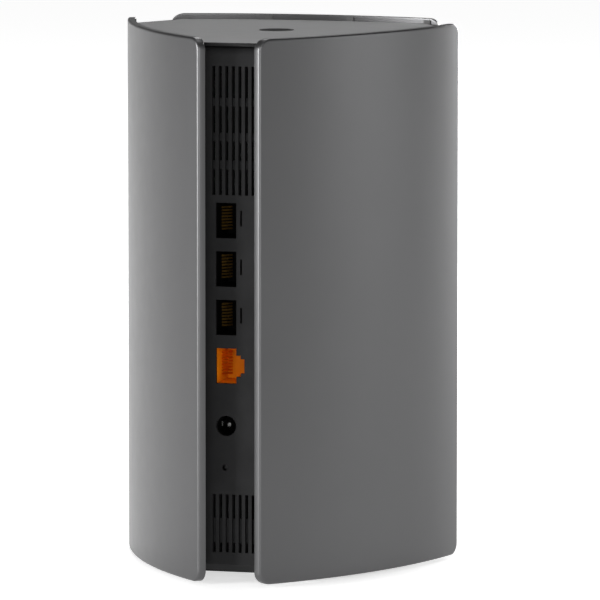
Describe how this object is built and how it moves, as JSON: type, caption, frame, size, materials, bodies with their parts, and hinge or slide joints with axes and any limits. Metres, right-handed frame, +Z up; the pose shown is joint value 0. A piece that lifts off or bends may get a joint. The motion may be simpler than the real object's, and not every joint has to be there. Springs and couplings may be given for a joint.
{
  "type": "mesh wifi node",
  "caption": "Free-standing three-sided wifi tower: curved metal plates round a dark core, sockets and louvres up one corner strip, flat lid with a status light",
  "frame": {"origin": "on the tower's three-fold axis, at the underside of the rubber pad", "axes": "+Z up; the corner strip with the sockets faces +Y; the front plate faces -Y; +X is the right-hand side seen from the front"},
  "size_m": [0.1152, 0.1071, 0.181],
  "materials": {
    "black_socket": "smooth black moulding",
    "board_green": "solder mask over glass laminate",
    "button_grey": "dark grey acetal",
    "chip_black": "moulded epoxy",
    "clip_tape": "dark grey strip",
    "dark_plastic": "fine texture, near black",
    "deck_plastic": "moulded, near black",
    "foot_rubber": "matt black",
    "gold_contact": "gold flashed spring wire",
    "lens_smoke": "smoked, polished",
    "lid_metal": "satin anodised grey",
    "light_guide": "clear moulding",
    "nickel": "bright nickel",
    "orange_socket": "smooth orange moulding",
    "plate_metal": "satin anodised dark grey",
    "raw_aluminium": "extruded, plain",
    "screw_steel": "black zinc",
    "thermal_grey": "soft silicone",
    "tin_steel": "tinned sheet steel"
  },
  "bodies": {
    "tower": {"antenna_connectors": "nickel", "antenna_leads": "chip_black", "base_cover": "deck_plastic", "base_screws": "screw_steel", "bottom_deck": "deck_plastic", "capacitors": "chip_black", "dc_jack_housing": "black_socket", "dc_jack_pin": "nickel", "dc_jack_spring": "nickel", "front_plate": "plate_metal", "front_plate_clips": "clip_tape", "front_wall": "deck_plastic", "heat_sink": "raw_aluminium", "heat_sink_screws": "screw_steel", "lan_contacts_1": "gold_contact", "lan_contacts_2": "gold_contact", "lan_contacts_3": "gold_contact", "lan_socket_1": "black_socket", "lan_socket_2": "black_socket", "lan_socket_3": "black_socket", "led_board": "board_green", "led_screws": "screw_steel", "left_antenna": "board_green", "left_corner_grille": "dark_plastic", "left_plate": "plate_metal", "left_plate_clips": "clip_tape", "left_wall": "deck_plastic", "light_pipe": "light_guide", "main_board": "board_green", "port_panel": "dark_plastic", "processor_chip": "chip_black", "processor_shield": "tin_steel", "radio_chips": "chip_black", "radio_shields": "tin_steel", "reset_switch": "black_socket", "right_antenna": "board_green", "right_corner_grille": "dark_plastic", "right_plate": "plate_metal", "right_plate_clips": "clip_tape", "right_wall": "deck_plastic", "rubber_pad": "foot_rubber", "socket_transformers": "chip_black", "status_led": "light_guide", "status_lens": "lens_smoke", "thermal_pads": "thermal_grey", "top_frame": "deck_plastic", "top_plate": "lid_metal", "wall_screws": "screw_steel", "wan_contacts": "gold_contact", "wan_socket": "orange_socket"},
    "button": {"reset_button": "button_grey"}
  },
  "joints": [
    {"name": "reset_press", "type": "slide", "parent": "tower", "child": "button", "axis": [0, -1, 0], "range_m": [0, 0.0004], "stiffness_N_per_m": 1200, "springref_m": -0.0006}
  ]
}
